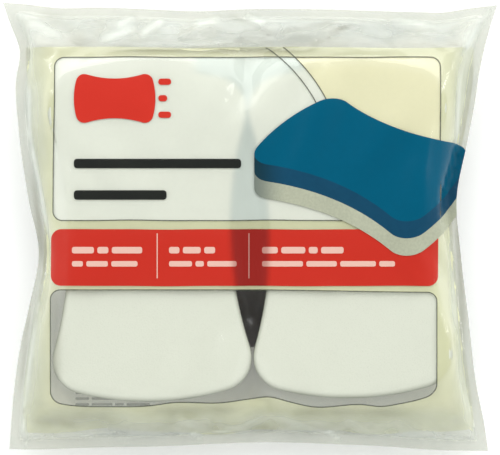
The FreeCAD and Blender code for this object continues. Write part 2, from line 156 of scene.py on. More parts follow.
def turned(points, angle, centre):
    c, s = math.cos(angle), math.sin(angle)
    return points @ np.array([[c, s], [-s, c]]) + np.asarray(centre)[:2]


def edge_distance(at, loop):
    """Signed distance from each point to a closed line, negative inside."""
    a, b = loop, np.roll(loop, -1, 0)
    best = np.full(len(at), 1e9)
    inside = np.zeros(len(at), bool)
    for p, q in zip(a, b):
        d = q - p
        t = np.clip(((at - p) @ d) / (d @ d + 1e-12), 0, 1)
        best = np.minimum(best, np.hypot(*(at - p - t[:, None] * d).T))
        crosses = (p[1] > at[:, 1]) != (q[1] > at[:, 1])
        with np.errstate(divide="ignore", invalid="ignore"):
            cut = p[0] + (at[:, 1] - p[1]) * d[0] / d[1]
        inside ^= crosses & (at[:, 0] < cut)
    return np.where(inside, -best, best)


# A map of the distance to the nearer eraser, read by the film solver and by the print.
MAP_STEP, MAP_X, MAP_Y = 0.75, 102.0, 93.0
ERASER_LOOPS = {side: turned(hourglass(2.0), LEAN, CENTRES[side]) for side in CENTRES}


def make_maps():
    """The distance to the nearer eraser at rest, and to the room that both take up as they slide."""
    xs = np.arange(-MAP_X, MAP_X + 0.1, MAP_STEP)
    ys = np.arange(-MAP_Y, MAP_Y + 0.1, MAP_STEP)
    grid = np.stack(np.meshgrid(xs, ys), -1).reshape(-1, 2)
    left, right = (edge_distance(grid, loop).reshape(len(ys), len(xs)) for loop in ERASER_LOOPS.values())
    slid = [np.roll(left, n, 0) for n in (0, 2, 4, 6, 8)] + [np.roll(right, n, 0) for n in (-2, 0, 2, 4, 6)]
    maps = []
    for away in (np.minimum(left, right), np.min(slid, 0)):
        slope_y, slope_x = np.gradient(away, MAP_STEP)
        maps.append(np.stack([away, slope_x, slope_y], -1))
    return maps


REST_MAP, FOAM_MAP = make_maps()


def foam_away(x, y, chart=FOAM_MAP):
    """Distance to the nearer eraser's outline and the direction away from it."""
    fx = np.clip((x + MAP_X) / MAP_STEP, 0, chart.shape[1] - 1.001)
    fy = np.clip((y + MAP_Y) / MAP_STEP, 0, chart.shape[0] - 1.001)
    i, j = fx.astype(int), fy.astype(int)
    tx, ty = (fx - i)[..., None], (fy - j)[..., None]
    near, far = (chart[row, i] * (1 - tx) + chart[row, i + 1] * tx for row in (j, j + 1))
    out = near * (1 - ty) + far * ty
    return out[..., 0], out[..., 1], out[..., 2]


# ---------------------------------------------------------------- the film solver
def web_place(u, v):
    """Where a point of the flat web lies in plan on the filled bag, as far as its seals decide it."""
    x, y = u * 0.93, v * 0.97
    for _ in range(4):
        left, right = smooth_line(LEFT_EDGE, y), smooth_line(RIGHT_EDGE, y)
        inner = FLAT_U - SIDE_SEAL
        share = np.clip((u + inner) / (2 * inner), 0, 1)
        x = -(left - SIDE_SEAL) * (1 - share) + (right - SIDE_SEAL) * share
        x = x + np.clip(u - inner, 0, None) + np.clip(u + inner, None, 0)
        top, bottom = smooth_line(TOP_EDGE, x), smooth_line(BOTTOM_EDGE, x)
        inner = FLAT_V - END_SEAL
        share = np.clip((v + inner) / (2 * inner), 0, 1)
        y = -(bottom - END_SEAL) * (1 - share) + (top - END_SEAL) * share
        y = y + np.clip(v - inner, 0, None) + np.clip(v + inner, None, 0)
    return x, y


def seal_wave(u, v):
    """How far the flange stands above or below the seals' plane."""
    side = 0.9 * np.sin(v / 9.0 + 0.8 * np.sign(u)) * smooth_step(70, 95, np.abs(u))
    end = 0.8 * np.sin(u / 12.0 + 1.1 * np.sign(v)) * smooth_step(70, 87, np.abs(v))
    ear = smooth_step(70, 95, np.abs(u)) * smooth_step(62, 87, np.abs(v))
    return side + end + ear * np.where(v > 0, 1.5, -1.0) * np.where(u > 0, 1.0, 1.4)


def pairs(P, axis, gap, offset, period):
    """The two ends of every link of length gap along an axis that starts at offset, offset + period, ..."""
    n = P.shape[axis]
    first = np.arange(offset, n - gap, period)
    pick = [slice(None)] * 3
    a, b = list(pick), list(pick)
    a[axis] = slice(first[0], first[-1] + 1, period)
    b[axis] = slice(first[0] + gap, first[-1] + gap + 1, period)
    return tuple(a), tuple(b)


def pull(P, W, a, b, rest, long, short):
    """Moves the two ends of each link towards its rest length; long and short are how hard."""
    d = P[b] - P[a]
    size = np.sqrt((d * d).sum(-1)) + 1e-9
    off = (size - rest) / size
    push = np.where(off > 0, long, short) * off / (W[a] + W[b] + 1e-9)
    move = d * push[..., None]
    P[a] += move * W[a][..., None]
    P[b] -= move * W[b][..., None]


def keep_clear(P):
    """Keeps both webs off the foam and the floor, and the front web above the back one."""
    middle = (PAD_HIGH + GRIP_LOW) / 2
    half = (PAD_HIGH - GRIP_LOW) / 2 + FILM_OFF_FOAM
    away, gx, gy = foam_away(P[..., 0], P[..., 1])
    away = away - FILM_OFF_FOAM
    up = P[..., 2] - middle
    qx, qz = away + FILM_BEND_R, np.abs(up) - half + FILM_BEND_R
    outer = np.hypot(np.maximum(qx, 0), np.maximum(qz, 0))
    depth = np.where(np.maximum(qx, qz) > 0, outer, np.maximum(qx, qz)) - FILM_BEND_R
    sign = np.where(np.arange(2)[:, None, None] == 0, 1.0, -1.0) * np.ones_like(up)
    both = (qx > 0) & (qz > 0)
    sx = np.where(both, qx / (outer + 1e-9), np.where(qx > qz, 1.0, 0.0))
    sz = np.where(both, qz / (outer + 1e-9), np.where(qx > qz, 0.0, 1.0))
    deep = np.clip(-depth, 0, 1.5)
    P[..., 0] += deep * sx * gx
    P[..., 1] += deep * sx * gy
    P[..., 2] += deep * sz * sign
    P[..., 2] = np.maximum(P[..., 2], FILM_OFF_FLOOR)
    mean = (P[0, ..., 2] + P[1, ..., 2]) / 2
    tight = P[0, ..., 2] - P[1, ..., 2] < WEB_GAP
    P[0, ..., 2] = np.where(tight, mean + WEB_GAP / 2, P[0, ..., 2])
    P[1, ..., 2] = np.where(tight, mean - WEB_GAP / 2, P[1, ..., 2])


def settle_film(rounds):
    """Both webs as points (web, row, column, xyz), settled round the erasers. Web 0 is the front."""
    cols, rows = 39, 36
    P = None
    for level, (count, bend) in enumerate(rounds):
        u, v = np.meshgrid(np.linspace(-FLAT_U, FLAT_U, cols), np.linspace(-FLAT_V, FLAT_V, rows))
        x, y = web_place(u, v)
        if P is None:
            inside = np.minimum(FLAT_U - SIDE_SEAL - np.abs(u), FLAT_V - END_SEAL - np.abs(v))
            lift = 13.3 * smooth_step(0, 13, inside)
            P = np.stack([np.stack([x, y, SEAL_Z + lift], -1), np.stack([x, y, SEAL_Z - lift], -1)])
        else:
            fine = np.zeros((2, rows, cols, 3))
            fine[:, ::2, ::2] = P
            fine[:, 1::2, ::2] = (P[:, :-1] + P[:, 1:]) / 2
            fine[:, :, 1::2] = (fine[:, :, :-1:2] + fine[:, :, 2::2]) / 2
            P = fine
        held = (np.abs(u) > FLAT_U - SIDE_SEAL - 0.1) | (np.abs(v) > FLAT_V - END_SEAL - 0.1)
        W = np.repeat(np.where(held, 0.0, 1.0)[None], 2, 0)
        du, dv = 2 * FLAT_U / (cols - 1), 2 * FLAT_V / (rows - 1)
        seal_z = SEAL_Z + seal_wave(u, v)
        bumps = rng.normal(size=(2, rows, cols)) * 0.25 * du
        P[..., 2] += bumps * W
        P[:, held, 0], P[:, held, 1] = x[held], y[held]
        P[0, held, 2], P[1, held, 2] = seal_z[held] + WELD_HALF, seal_z[held] - WELD_HALF
        du_row = du * smooth_line(TAKE_UP, v[:, 0])[None, :, None]
        links = []
        for axis, rest in ((2, du_row), (1, dv)):
            for off in (0, 1):
                links.append((*pairs(P[..., 0], axis, 1, off, 2), rest, 1.0, 0.45))
            for off in range(4):
                links.append((*pairs(P[..., 0], axis, 2, off, 4), 2 * rest, 0.0, bend))
        every = slice(None)
        for off in (0, 1):
            n = (rows - off) // 2
            low, high = slice(off, off + 2 * n, 2), slice(off + 1, off + 1 + 2 * n, 2)
            slant = np.hypot(du_row[:, high], dv)
            for left, right in ((slice(0, -1), slice(1, None)), (slice(1, None), slice(0, -1))):
                links.append(((every, low, left), (every, high, right), slant, 0.7, 0.25))
        for turn in range(count):
            if turn % 5 == 0:
                out = np.cross(np.gradient(P, axis=2), np.gradient(P, axis=1))
                out /= np.sqrt((out * out).sum(-1, keepdims=True)) + 1e-9
                out[1] *= -1
            P += out * (AIR * W[..., None])
            for a, b, rest, long, short in links:
                pull(P, W, a, b, rest, long, short)
            keep_clear(P)
            P[:, held, 0], P[:, held, 1] = x[held], y[held]
            P[0, held, 2], P[1, held, 2] = seal_z[held] + WELD_HALF, seal_z[held] - WELD_HALF
        if level + 1 < len(rounds):
            cols, rows = cols * 2 - 1, rows * 2 - 1
    return P, u, v, held


def soften(P, held, times):
    """Takes the solver's grain out of the webs."""
    for _ in range(times):
        mean = P.copy()
        mean[:, 1:-1, 1:-1] = (P[:, :-2, 1:-1] + P[:, 2:, 1:-1] + P[:, 1:-1, :-2] + P[:, 1:-1, 2:]) / 4
        P[:, ~held] += 0.5 * (mean - P)[:, ~held]
        keep_clear(P)
    return P


def ridges(across, along, spacing, seed):
    """Soft sharp-crested folds that run along one direction, from 0 to 1."""
    g = np.random.default_rng(seed)
    total = np.zeros_like(across)
    for k in range(7):
        turn, pitch, phase = g.uniform(-0.45, 0.45), spacing * g.uniform(0.7, 1.9), g.uniform(0, 6)
        wander = 0.35 * np.sin(along / g.uniform(14, 30) + g.uniform(0, 6))
        line = (across * math.cos(turn) + along * math.sin(turn)) / pitch + wander + phase
        total += (1 - np.abs(np.sin(math.pi * line))) ** 1.5 * (0.5 + 0.5 * np.sin(along / 17 + 2.4 * k))
    return total / 2.2


def crumple(P, held):
    """Small folds where no eraser holds the webs out, and the long folds of the front web."""
    for web, out in ((0, 1.0), (1, -1.0)):
        x, y = P[web, ..., 0], P[web, ..., 1]
        loose = smooth_step(1.0, 9.0, foam_away(x, y)[0]) * ~held
        ends = smooth_step(60, 72, np.abs(y))
        across = 1.5 * ridges(y, x, 12.0, 31 + web) + 0.6 * ridges(y, x, 5.5, 11 + web)
        upright = 0.8 * ridges(x, y * 0.5, 6.0, 23 + web)
        size = ends * across + (1 - ends) * upright
        fold = np.zeros_like(x)
        if web == 0:
            line = 68.4 + 0.5 * np.sin(x / 21)
            reach = smooth_step(-60, -45, x) * smooth_step(30, 14, x)
            fold += -0.9 * np.exp(-((y - line) / 1.0) ** 2) * reach
            arch = 68.6 + 8.4 * np.clip((x + 11) / 49, 0, 1) ** 1.4
            fold += 0.8 * np.tanh((y - arch) / 0.9) * smooth_step(-14, 0, x) * smooth_step(44, 36, x)
            fold += 0.7 * streaks(x, y)
        P[web, ..., 2] += out * loose * size + fold * smooth_step(0, 3, foam_away(x, y)[0]) * ~held
    keep_clear(P)


def streaks(x, y):
    """The long folds of the front web: the height each adds, and its painted highlight (above 0) or painted
    shade (below 0).
    """
    total = np.zeros_like(x)
    for x0, y0, x1, y1, width, strength in HEAD_FOLDS + SIDE_FOLDS + FOOT_FOLDS:
        dx, dy = x1 - x0, y1 - y0
        long = math.hypot(dx, dy)
        along = ((x - x0) * dx + (y - y0) * dy) / long**2
        off = ((x - x0) * dy - (y - y0) * dx) / long
        ends = smooth_step(-0.10, 0.25, along) * smooth_step(1.10, 0.75, along)
        total += strength * ends * np.exp(-(off / width) ** 2)
    return np.clip(total, -1, 1)


def loose_share(x, y):
    """How far a place is out in the bag's head, foot and sides, beyond the printed area."""
    return np.maximum(smooth_step(74, 84, np.abs(x)), smooth_step(66, 74, np.abs(y)))


# ---------------------------------------------------------------- meshes
def mesh_piece(name, points, faces, material):
    """A mesh object from points in millimetres."""
    mesh = bpy.data.meshes.new(name)
    mesh.from_pydata((np.asarray(points) * MM).tolist(), [], [list(map(int, f)) for f in faces])
    mesh.update()
    piece = bpy.data.objects.new(name, mesh)
    bpy.context.scene.collection.objects.link(piece)
    mesh.materials.append(material)
    mesh.polygons.foreach_set("use_smooth", [True] * len(mesh.polygons))
    return piece


def write_attribute(piece, name, values):
    layer = piece.data.attributes.new(name, "FLOAT", "POINT")
    layer.data.foreach_set("value", np.asarray(values, np.float32))


def web_piece(name, P, u, v, flip, material):
    rows, cols = u.shape
    index = np.arange(rows * cols).reshape(rows, cols)
    quads = np.stack([index[:-1, :-1], index[:-1, 1:], index[1:, 1:], index[1:, :-1]], -1).reshape(-1, 4)
    if flip:
        quads = quads[:, ::-1]
    piece = mesh_piece(name, P.reshape(-1, 3), quads, material)
    layer = piece.data.uv_layers.new(name="flat")
    corner = np.zeros(len(piece.data.loops), int)
    piece.data.loops.foreach_get("vertex_index", corner)
    flat = np.stack([u.ravel()[corner] / (2 * FLAT_U) + 0.5, v.ravel()[corner] / (2 * FLAT_U) + 0.5], -1)
    layer.data.foreach_set("uv", flat.ravel().astype(np.float32))
    middle = P[1:-1, 1:-1]
    bend = np.zeros((rows, cols))
    lap = (P[:-2, 1:-1] + P[2:, 1:-1] + P[1:-1, :-2] + P[1:-1, 2:]) / 4 - middle
    bend[1:-1, 1:-1] = np.sqrt((lap**2).sum(-1))
    near_foam = smooth_step(0.6, 3.0, foam_away(P[..., 0], P[..., 1])[0])
    # Whitening at sharp bends: partly the film's own stress-whitening, partly a painted glint on the fold.
    write_attribute(piece, "crease", (np.clip((bend - 0.16) * 5, 0, 1) * near_foam).ravel())
    # Painted highlight and painted shade of the long folds, read by the front film's colour.
    write_attribute(piece, "fold_light_paint", (0 if flip else 1) * streaks(P[..., 0], P[..., 1]).ravel())
    in_weld = np.maximum(np.abs(u) - FLAT_U + SIDE_SEAL, np.abs(v) - FLAT_V + END_SEAL)
    loose = loose_share(P[..., 0], P[..., 1]) * (0.15 + 0.85 * near_foam)
    loose = loose * (1 - 0.6 * smooth_step(-1, 1, in_weld))
    write_attribute(piece, "loose", loose.ravel())
    return piece


# ---------------------------------------------------------------- the printed shapes
def bar_loop(left, right, low, high, radius, step=0.8):
    """A rounded rectangle as a closed line."""
    corners = [(right - radius, low + radius, -90), (right - radius, high - radius, 0),
               (left + radius, high - radius, 90), (left + radius, low + radius, 180)]
    arcs = [arc(cx, cy, radius, a, a + 90, step / 2) for cx, cy, a in corners]
    line = []
    for i, run in enumerate(arcs):
        line.append(run)
        end = np.array([corners[i][0] + radius * math.cos(math.radians(corners[i][2] + 90)),
                        corners[i][1] + radius * math.sin(math.radians(corners[i][2] + 90))])
        start = arcs[(i + 1) % 4][0]
        n = max(1, int(np.hypot(*(start - end)) / step))
        line.append(end + (start - end) * (np.arange(n) / n)[:, None])
    return np.concatenate(line)


def inside_of(at, loops):
    """True where a point is inside an odd number of the loops."""
    hit = np.zeros(len(at), bool)
    for loop in loops:
        hit ^= edge_distance(at, loop) < 0
    return hit


def laid_piece(name, loops, depth, material, grain=1.25):
    """An inked shape: a fine flat mesh inside its loops, laid on the front web."""
    low = np.min([loop.min(0) for loop in loops], 0)
    high = np.max([loop.max(0) for loop in loops], 0)
    xs, ys = np.arange(low[0] + grain / 2, high[0], grain), np.arange(low[1] + grain / 2, high[1], grain)
    grid = np.stack(np.meshgrid(xs, ys), -1).reshape(-1, 2)
    if len(grid):
        near = np.min([np.abs(edge_distance(grid, loop)) for loop in loops], 0)
        grid = grid[inside_of(grid, loops) & (near > grain * 0.35)]
    points = np.concatenate([*loops, grid])
    edges, start = [], 0
    for loop in loops:
        n = len(loop)
        edges += [(start + i, start + (i + 1) % n) for i in range(n)]
        start += n
    made = delaunay_2d_cdt([Vector(p) for p in points], edges, [], 0, 1e-5)
    flat = np.array([tuple(p) for p in made[0]])
    faces = np.array([f for f in made[2] if len(f) == 3])
    faces = faces[inside_of(flat[faces].mean(1), loops)]
    used = np.unique(faces)
    renumber = np.full(len(flat), -1)
    renumber[used] = np.arange(len(used))
    flat, faces = flat[used], renumber[faces]
    a, b, c = (flat[faces[:, k]] for k in range(3))
    turn = (b[:, 0] - a[:, 0]) * (c[:, 1] - a[:, 1]) - (b[:, 1] - a[:, 1]) * (c[:, 0] - a[:, 0])
    faces = np.where((turn < 0)[:, None], faces[:, ::-1], faces)
    piece = mesh_piece(name, lay(flat, depth), faces, material)
    # Painted shade: how far each point lies over the dark gap between the erasers, where the ink takes a
    # darker colour.
    gap = smooth_step(-1.6, 1.6, foam_away(flat[:, 0], flat[:, 1], REST_MAP)[0])
    write_attribute(piece, "gap_shade", gap * (1 - smooth_step(18, 24, np.abs(flat[:, 0]))))
    write_attribute(piece, "tip", 1 - smooth_step(1, 15, flat[:, 0]))
    return piece


def lay(flat, depth):
    """Points in plan, put on the front web and moved in through it by depth, or out if that is negative."""
    out = np.zeros((len(flat), 3))
    for i, (x, y) in enumerate(flat):
        place, normal, *_ = FRONT_TREE.ray_cast(Vector((x, y, ABOVE_ALL)), Vector((0, 0, -1)))
        if place is None:
            place, normal, *_ = FRONT_TREE.find_nearest(Vector((x, y, SEAL_Z)))
        if normal.z < 0:
            normal = -normal
        normal = (normal + Vector((0, 0, 1.0))).normalized()
        steep = min(1.0, max(0.0, (PAD_HIGH - 1 - place.z) / 4))
        out[i] = place - normal * depth * (1 + steep * (1 + 2 * loose_share(place.x, place.y)))
    return out


# ---------------------------------------------------------------- materials
def new_material(name):
    made = bpy.data.materials.new(name)
    made.use_nodes = True
    tree = made.node_tree
    return made, tree, tree.nodes["Principled BSDF"]


def add(tree, kind, **settings):
    node = tree.nodes.new(kind)
    for key, value in settings.items():
        if key in node.inputs:
            node.inputs[key].default_value = value
        else:
            setattr(node, key, value)
    return node


def srgb(r, g, b):
    """A colour given as a screen shows it, as light."""
    light = [c / 255 / 12.92 if c <= 10 else ((c / 255 + 0.055) / 1.055) ** 2.4 for c in (r, g, b)]
    return (*light, 1.0)


def feed(tree, value, socket):
    """Gives an input a fixed value, or joins it to another node's output."""
    if isinstance(value, bpy.types.NodeSocket):
        tree.links.new(value, socket)
    else:
        socket.default_value = value


def math_node(tree, operation, a, b, clamp=False):
    node = add(tree, "ShaderNodeMath", operation=operation, use_clamp=clamp)
    feed(tree, a, node.inputs[0])
    feed(tree, b, node.inputs[1])
    return node.outputs[0]


def mix_color(tree, share, first, second, blend="MIX"):
    node = add(tree, "ShaderNodeMix", data_type="RGBA", blend_type=blend)
    for socket, value in ((0, share), (6, first), (7, second)):
        feed(tree, value, node.inputs[socket])
    return node.outputs[2]


def mix_shader(tree, share, first, second):
    node = add(tree, "ShaderNodeMixShader")
    for socket, value in zip(node.inputs, (share, first.outputs[0], second.outputs[0])):
        feed(tree, value, socket)
    return node


def map_range(tree, value, low, high, to_low, to_high):
    node = add(tree, "ShaderNodeMapRange")
    settings = {"Value": value, "From Min": low, "From Max": high, "To Min": to_low, "To Max": to_high}
    for name, setting in settings.items():
        feed(tree, setting, node.inputs[name])
    return node.outputs[0]


def attribute(tree, name):
    return add(tree, "ShaderNodeAttribute", attribute_name=name).outputs["Fac"]


def mottle_group():
    """A shared effect: a colour made a little lighter and darker in soft patches and fine grain."""
    group = bpy.data.node_groups.new("mottle", "ShaderNodeTree")
    for name, kind, value in (("Color", "NodeSocketColor", (0.8, 0.8, 0.8, 1)),
                              ("Patches", "NodeSocketFloat", 60.0), ("Grain", "NodeSocketFloat", 900.0),
                              ("Amount", "NodeSocketFloat", 0.05)):
        socket = group.interface.new_socket(name=name, in_out="INPUT", socket_type=kind)
        socket.default_value = value
    for name, kind in (("Color", "NodeSocketColor"), ("Height", "NodeSocketFloat")):
        group.interface.new_socket(name=name, in_out="OUTPUT", socket_type=kind)
    inside, outside = group.nodes.new("NodeGroupInput"), group.nodes.new("NodeGroupOutput")
    place = group.nodes.new("ShaderNodeTexCoord")
    soft, fine = group.nodes.new("ShaderNodeTexNoise"), group.nodes.new("ShaderNodeTexNoise")
    for noise, scale in ((soft, "Patches"), (fine, "Grain")):
        noise.inputs["Detail"].default_value = 3.0
        group.links.new(place.outputs["Object"], noise.inputs["Vector"])
        group.links.new(inside.outputs[scale], noise.inputs["Scale"])
    both = math_node(group, "ADD", soft.outputs["Fac"], fine.outputs["Fac"])
    swing = math_node(group, "MULTIPLY", math_node(group, "SUBTRACT", both, 1.0), inside.outputs["Amount"])
    gain = math_node(group, "ADD", swing, 1.0)
    scaled = group.nodes.new("ShaderNodeVectorMath")
    scaled.operation = "SCALE"
    group.links.new(inside.outputs["Color"], scaled.inputs[0])
    group.links.new(gain, scaled.inputs["Scale"])
    group.links.new(scaled.outputs["Vector"], outside.inputs["Color"])
    group.links.new(fine.outputs["Fac"], outside.inputs["Height"])
    return group


MOTTLE = mottle_group()


def mottled(tree, color, patches, grain, amount):
    node = add(tree, "ShaderNodeGroup", node_tree=MOTTLE)
    for name, value in (("Color", color), ("Patches", patches), ("Grain", grain), ("Amount", amount)):
        node.inputs[name].default_value = value
    return node


def bump(tree, height, strength, distance, target):
    node = add(tree, "ShaderNodeBump", Strength=strength, Distance=distance)
    tree.links.new(height, node.inputs["Height"])
    tree.links.new(node.outputs["Normal"], target.inputs["Normal"])
    return node


FILM_IOR, MOST_SHINE = 1.5, 0.14


def film_material(name, haze, crease_gain, loose_haze, clear_tint):
    """Clear film: it lets light through, shines by its angle, and whitens where it is creased, partly its own
    stress-whitening and partly a painted glint.
    Loose film is greyer in soft patches, and each long fold carries a painted highlight (white) or painted
    shade (a darker tint)."""
    made, tree, base = new_material(name)
    base.inputs["Base Color"].default_value = srgb(226, 230, 222)
    base.inputs["Roughness"].default_value = 0.45
    clear = add(tree, "ShaderNodeBsdfTransparent")
    shine = add(tree, "ShaderNodeBsdfGlossy", Color=(1, 1, 1, 1), Roughness=0.13)
    place = add(tree, "ShaderNodeTexCoord")
    ripple = add(tree, "ShaderNodeTexNoise", Scale=110.0, Detail=4.0, Roughness=0.55, Distortion=0.6)
    tree.links.new(place.outputs["Object"], ripple.inputs["Vector"])
    patches = add(tree, "ShaderNodeTexNoise", Scale=26.0, Detail=2.0, Distortion=1.6)
    tree.links.new(place.outputs["Object"], patches.inputs["Vector"])
    loose, fold_light_paint, crease = (attribute(tree, kind) for kind in ("loose", "fold_light_paint", "crease"))
    # The long folds' painted highlight whitens the film, and their painted shade darkens its tint.
    fold_highlight = math_node(tree, "MAXIMUM", fold_light_paint, 0.0)
    fold_shade = math_node(tree, "MAXIMUM", math_node(tree, "MULTIPLY", fold_light_paint, -1.0), 0.0)
    grey = map_range(tree, patches.outputs["Fac"], 0.38, 0.62, 0.12, 1.0)
    patchy = math_node(tree, "MULTIPLY", loose, grey)
    tint = mix_color(tree, patchy, clear_tint, (0.835, 0.845, 0.825, 1))
    feed(tree, mix_color(tree, fold_shade, tint, (0.60, 0.60, 0.55, 1)), clear.inputs["Color"])
    share = math_node(tree, "ADD", math_node(tree, "MULTIPLY", loose, 0.9), 0.1)
    bumps = bump(tree, math_node(tree, "MULTIPLY", ripple.outputs["Fac"], share), 0.6, 0.0016, shine)
    tree.links.new(bumps.outputs["Normal"], base.inputs["Normal"])
    side = add(tree, "ShaderNodeNewGeometry")
    fresnel = add(tree, "ShaderNodeFresnel")
    bending = map_range(tree, side.outputs["Backfacing"], 0.0, 1.0, FILM_IOR, 1 / FILM_IOR)
    feed(tree, bending, fresnel.inputs["IOR"])
    tree.links.new(bumps.outputs["Normal"], fresnel.inputs["Normal"])
    mirror = math_node(tree, "MULTIPLY", fresnel.outputs[0], 1.1)
    film = mix_shader(tree, math_node(tree, "MINIMUM", mirror, MOST_SHINE), clear, shine)
    edge = add(tree, "ShaderNodeLayerWeight", Blend=0.5)
    slack = math_node(tree, "ADD", math_node(tree, "MULTIPLY", loose, 0.42), 0.06)
    facing = math_node(tree, "MULTIPLY", edge.outputs["Facing"], slack)
    milk = math_node(tree, "MULTIPLY", loose, loose_haze)
    # Creases whiten (stress-whitening, partly a painted glint), and the long folds add their painted
    # highlight.
    folded = math_node(tree, "ADD", math_node(tree, "MULTIPLY", crease, crease_gain),
                       math_node(tree, "MULTIPLY", fold_highlight, 0.62))
    white = math_node(tree, "ADD", folded, facing)
    share = math_node(tree, "ADD", white, math_node(tree, "ADD", milk, haze), True)
    whole = mix_shader(tree, share, film, base)
    tree.links.new(whole.outputs[0], tree.nodes["Material Output"].inputs["Surface"])
    return made


def weld_material():
    """The welded flange: both webs as one, milky, with fine ribs from the sealing jaws."""
    made, tree, base = new_material("welded_film")
    base.inputs["Roughness"].default_value = 0.3
    base.inputs["Alpha"].default_value = 0.30
    tone = mottled(tree, srgb(251, 253, 250), 50.0, 700.0, 0.06)
    tree.links.new(tone.outputs["Color"], base.inputs["Base Color"])
    place = add(tree, "ShaderNodeTexCoord")
    ribs = add(tree, "ShaderNodeTexWave", Scale=260.0, Distortion=1.5, wave_type="RINGS", rings_direction="Z")
    tree.links.new(place.outputs["Object"], ribs.inputs["Vector"])
    bump(tree, ribs.outputs["Fac"], 0.25, 0.0002, base)
    return made


def ink_material(name, color, alpha, patches=25.0, grain=700.0, amount=0.04, gap_shade_color=None, rough=0.4,
                 at_tip=None):
    """Ink on the film. Its second colour, given where the dark gap between the erasers lies behind it, is
    painted shade: the gap seen through the ink.
    at_tip is the colour that the drawn eraser's sides have at its near left end."""
    made, tree, base = new_material(name)
    tone = mottled(tree, color, patches, grain, amount)
    shown = tone.outputs["Color"]
    for where, other in (("gap_shade", gap_shade_color), ("tip", at_tip)):
        if other is not None:
            shown = mix_color(tree, attribute(tree, where), shown, other)
    tree.links.new(shown, base.inputs["Base Color"])
    base.inputs["Roughness"].default_value = rough
    base.inputs["Specular IOR Level"].default_value = 0.12
    base.inputs["Alpha"].default_value = alpha
    return made


def foam_material(name, color, pore_scale, pore_depth, amount):
    """Open foam: pores of two sizes, with painted shade inside them and on its rims."""
    made, tree, base = new_material(name)
    place = add(tree, "ShaderNodeTexCoord")
    pores = add(tree, "ShaderNodeTexVoronoi", Scale=pore_scale)
    tree.links.new(place.outputs["Object"], pores.inputs["Vector"])
    tone = mottled(tree, color, 28.0, pore_scale * 1.7, amount)
    # Painted shade in the pores: each one is darker towards its middle.
    pore_shade_ramp = add(tree, "ShaderNodeValToRGB")
    pore_shade_ramp.color_ramp.elements[0].color = (0.80, 0.80, 0.79, 1)
    pore_shade_ramp.color_ramp.elements[0].position = 0.02
    pore_shade_ramp.color_ramp.elements[1].position = 0.30
    tree.links.new(pores.outputs["Distance"], pore_shade_ramp.inputs[0])
    pore_shaded = mix_color(tree, 0.55, tone.outputs["Color"], pore_shade_ramp.outputs[0], "MULTIPLY")
    # Painted shade: the foam's colour darkens where its surface turns away from the view, at its rims.
    edge = add(tree, "ShaderNodeLayerWeight", Blend=0.5)
    rim_shade = mix_color(tree, edge.outputs["Facing"], pore_shaded, (0.35, 0.35, 0.33, 1), "MULTIPLY")
    tree.links.new(rim_shade, base.inputs["Base Color"])
    base.inputs["Roughness"].default_value = 0.95
    base.inputs["Specular IOR Level"].default_value = 0.1
    height = math_node(tree, "ADD", pores.outputs["Distance"], tone.outputs["Height"])
    bump(tree, height, 0.15, pore_depth, base)
    return made


CLEAR_FRONT = film_material("clear_film_front", 0.002, 0.14, 0.14, (0.965, 0.972, 0.960, 1))
# The back web's clear tint is darker and warmer than the front's: painted shade from beneath the bag, seen
# through the windows.
SHADE_TINTED_BACK = film_material("clear_film_back", 0.05, 0.14, 0.08, (0.80, 0.785, 0.72, 1))
WELD = weld_material()
MELAMINE = foam_material("melamine_foam", srgb(233, 234, 222), 1500.0, 0.0003, 0.03)
GRIP_FOAM = foam_material("grip_foam", srgb(10, 98, 130), 700.0, 0.0008, 0.16)
BOND = ink_material("bond_web", srgb(196, 200, 190), 1.0, rough=0.8)
CREAM = ink_material("ink_cream", srgb(243, 242, 200), 0.62)
# The second colours of the white, red and pale inks are painted shade over the gap between the erasers.
WHITE = ink_material("ink_white", srgb(253, 254, 244), 0.74, gap_shade_color=srgb(232, 240, 234))
YELLOW = ink_material("ink_pale_yellow", srgb(255, 249, 212), 0.76)
RED = ink_material("ink_red", srgb(199, 49, 37), 0.98, gap_shade_color=srgb(146, 36, 31), amount=0.03)
MARK_RED = ink_material("ink_red_mark", srgb(206, 52, 40), 0.98, amount=0.03)
DARK = ink_material("ink_dark", srgb(34, 36, 34), 0.96)
RULE = ink_material("ink_rule", srgb(78, 80, 70), 0.80, grain=500.0, amount=0.5)
PALE = ink_material("ink_light", srgb(240, 196, 182), 0.90, gap_shade_color=srgb(196, 140, 130))
BLUE = ink_material("ink_blue", srgb(3, 88, 117), 0.99, grain=450.0, amount=0.10, rough=0.25)
BLUE_SIDE = ink_material("ink_dark_blue", srgb(20, 70, 98), 0.99, grain=450.0, amount=0.22,
                         at_tip=srgb(22, 54, 66))
GREY_SIDE = ink_material("ink_grey", srgb(180, 183, 162), 0.98, patches=45.0, grain=1100.0, amount=0.35,
                         at_tip=srgb(118, 126, 118))
BACK_GAP_SHEET = ink_material("back_gap_sheet", srgb(225, 212, 208), 1.0, amount=0.2)
BACK_TEXT = ink_material("ink_back_bars", srgb(110, 116, 106), 0.40)


# ---------------------------------------------------------------- the bag
webs, flat_u, flat_v, welded = settle_film([(400, 0.3), (200, 0.25), (80, 0.2)])
webs = soften(webs, welded, 4)
crumple(webs, welded)
webs = soften(webs, welded, 1)
rows, cols = flat_u.shape
front = web_piece("front_web", webs[0], flat_u, flat_v, False, CLEAR_FRONT)
back = web_piece("back_web", webs[1], flat_u, flat_v, True, SHADE_TINTED_BACK)
FRONT_TREE = BVHTree.FromPolygons([tuple(p) for p in webs[0].reshape(-1, 3)],
                                  [tuple(p.vertices) for p in front.data.polygons])
BACK_TREE = BVHTree.FromPolygons([tuple(p) for p in webs[1].reshape(-1, 3)],
                                 [tuple(p.vertices) for p in back.data.polygons])


